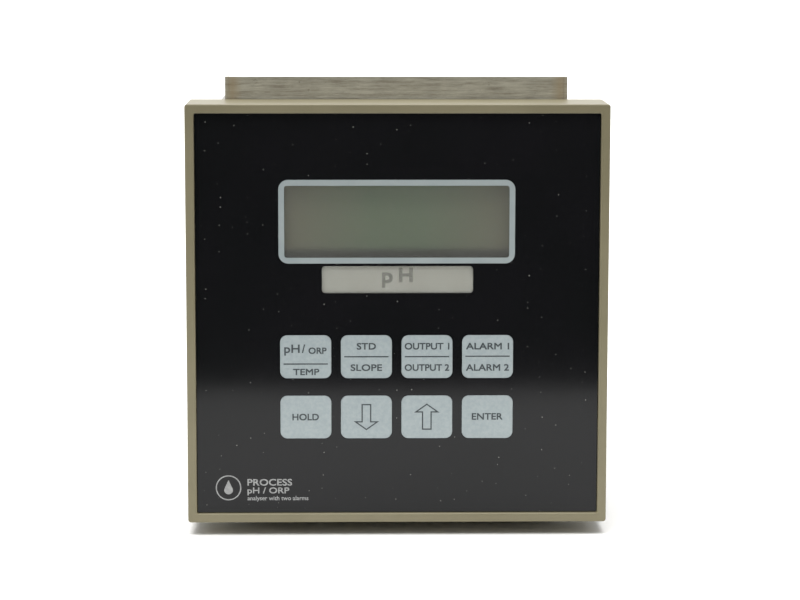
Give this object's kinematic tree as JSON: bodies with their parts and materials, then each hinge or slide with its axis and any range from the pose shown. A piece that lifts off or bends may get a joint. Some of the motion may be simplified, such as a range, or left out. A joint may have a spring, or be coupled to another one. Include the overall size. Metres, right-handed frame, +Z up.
{
  "type": "panel-mounted ph analyser",
  "caption": "Square panel-mounted pH analyser with a display, a units card, a pressed keypad, rear terminals and a clamp yoke tightened by two thumb screws.",
  "frame": {"origin": "middle of the footprint, on the surface that the yoke's lower edges stand on", "axes": "+Z up, +X to the right seen from the front, +Y from the front into the instrument"},
  "size_m": [0.144, 0.163, 0.1563],
  "materials": {
    "bezel_plastic": "moulded, satin olive grey",
    "overlay_film": "printed gloss film",
    "clear_film": "clear hard-coated pane",
    "label_card": "matt card",
    "key_pad": "pale blue grey print, fine texture",
    "spacer_film": "polyester sheet",
    "circuit_film": "printed polyester circuit",
    "spring_steel": "bright stainless domes",
    "aluminium_plate": "mill finish",
    "zinc_steel": "zinc plated",
    "lcd_cell": "liquid-crystal cell with a grey-green polariser",
    "tinned_steel": "tinned sheet",
    "black_plastic": "moulded black",
    "contact_rubber": "striped silicone",
    "circuit_board": "glass-fibre laminate with green resist",
    "chip_resin": "moulded epoxy",
    "guide_plastic": "natural nylon",
    "core_iron": "varnished laminations",
    "coil_tape": "polyester tape over copper",
    "can_sleeve": "shrink sleeve on an aluminium can",
    "relay_case": "moulded relay cover",
    "fuse_glass": "glass tube",
    "heat_sink_black": "black anodised",
    "header_plastic": "moulded socket",
    "ribbon_grey": "flat ribbon cable",
    "case_paint": "grey enamel on folded steel",
    "terminal_black": "moulded phenolic",
    "brass_nickel": "nickel plated",
    "foil": "blank foil plate",
    "gasket_rubber": "closed-cell neoprene",
    "yoke_steel": "bare brushed sheet, stained, heat tint at the welded ends"
  },
  "bodies": {
    "instrument": {"alarm_relays": "relay_case", "bezel": "bezel_plastic", "card_guides": "guide_plastic", "case_sleeve": "case_paint", "clamp_nuts": "zinc_steel", "contact_strips": "contact_rubber", "display_board": "circuit_board", "display_chips": "chip_resin", "display_screws": "zinc_steel", "display_standoffs": "zinc_steel", "dome_spacer": "spacer_film", "filter_capacitors": "can_sleeve", "front_overlay": "overlay_film", "front_plate": "aluminium_plate", "front_ribbon": "ribbon_grey", "fuse": "fuse_glass", "fuse_clips": "brass_nickel", "ground_nut": "brass_nickel", "ground_stud": "brass_nickel", "heat_sink": "heat_sink_black", "keypad_circuit": "circuit_film", "keypad_tail": "circuit_film", "label_card": "label_card", "label_window": "clear_film", "lcd_frame": "tinned_steel", "lcd_glass": "lcd_cell", "lcd_holder": "black_plastic", "logic_chips": "chip_resin", "main_board": "circuit_board", "panel_gasket": "gasket_rubber", "panel_screws": "zinc_steel", "plate_studs": "zinc_steel", "power_board": "circuit_board", "rating_plate": "foil", "rear_panel": "aluminium_plate", "regulators": "chip_resin", "ribbon_headers": "header_plastic", "stud_nuts": "zinc_steel", "switch_domes": "spring_steel", "terminal_clamps": "brass_nickel", "terminal_headers": "header_plastic", "terminal_screws": "brass_nickel", "terminal_strip_left": "terminal_black", "terminal_strip_right": "terminal_black", "transformer_coil": "coil_tape", "transformer_core": "core_iron", "window_lens": "clear_film"},
    "key_measure_pad": {"key_measure": "key_pad"},
    "key_standardise_pad": {"key_standardise": "key_pad"},
    "key_outputs_pad": {"key_outputs": "key_pad"},
    "key_alarms_pad": {"key_alarms": "key_pad"},
    "key_hold_pad": {"key_hold": "key_pad"},
    "key_down_pad": {"key_down": "key_pad"},
    "key_up_pad": {"key_up": "key_pad"},
    "key_enter_pad": {"key_enter": "key_pad"},
    "yoke": {"clamp_yoke": "yoke_steel"},
    "screw_left": {"clamp_screw_left": "zinc_steel", "clamp_clip_left": "spring_steel"},
    "screw_right": {"clamp_screw_right": "zinc_steel", "clamp_clip_right": "spring_steel"}
  },
  "joints": [
    {"name": "key_measure_press", "type": "slide", "parent": "instrument", "child": "key_measure_pad", "axis": [0, 1, 0], "range_m": [0, 0.0005], "stiffness_N_per_m": 1200, "springref_m": -0.0002},
    {"name": "key_standardise_press", "type": "slide", "parent": "instrument", "child": "key_standardise_pad", "axis": [0, 1, 0], "range_m": [0, 0.0005], "stiffness_N_per_m": 1200, "springref_m": -0.0002},
    {"name": "key_outputs_press", "type": "slide", "parent": "instrument", "child": "key_outputs_pad", "axis": [0, 1, 0], "range_m": [0, 0.0005], "stiffness_N_per_m": 1200, "springref_m": -0.0002},
    {"name": "key_alarms_press", "type": "slide", "parent": "instrument", "child": "key_alarms_pad", "axis": [0, 1, 0], "range_m": [0, 0.0005], "stiffness_N_per_m": 1200, "springref_m": -0.0002},
    {"name": "key_hold_press", "type": "slide", "parent": "instrument", "child": "key_hold_pad", "axis": [0, 1, 0], "range_m": [0, 0.0005], "stiffness_N_per_m": 1200, "springref_m": -0.0002},
    {"name": "key_down_press", "type": "slide", "parent": "instrument", "child": "key_down_pad", "axis": [0, 1, 0], "range_m": [0, 0.0005], "stiffness_N_per_m": 1200, "springref_m": -0.0002},
    {"name": "key_up_press", "type": "slide", "parent": "instrument", "child": "key_up_pad", "axis": [0, 1, 0], "range_m": [0, 0.0005], "stiffness_N_per_m": 1200, "springref_m": -0.0002},
    {"name": "key_enter_press", "type": "slide", "parent": "instrument", "child": "key_enter_pad", "axis": [0, 1, 0], "range_m": [0, 0.0005], "stiffness_N_per_m": 1200, "springref_m": -0.0002},
    {"name": "yoke_slide", "type": "slide", "parent": "instrument", "child": "yoke", "axis": [0, 1, 0], "range_m": [0, 0.01201]},
    {"name": "screw_left_turn", "type": "hinge", "parent": "yoke", "child": "screw_left", "pos_m": [-0.052, 0.07472, 0.07815], "axis": [0, 1, 0], "range_deg": [0, 5400]},
    {"name": "screw_right_turn", "type": "hinge", "parent": "yoke", "child": "screw_right", "pos_m": [0.052, 0.07472, 0.07815], "axis": [0, 1, 0], "range_deg": [0, 5400]}
  ],
  "couplings": [
    {"joint": "screw_right_turn", "follows": "screw_left_turn", "ratio": 1},
    {"joint": "yoke_slide", "follows": "screw_left_turn", "m_per_rad": 0.00012732}
  ]
}
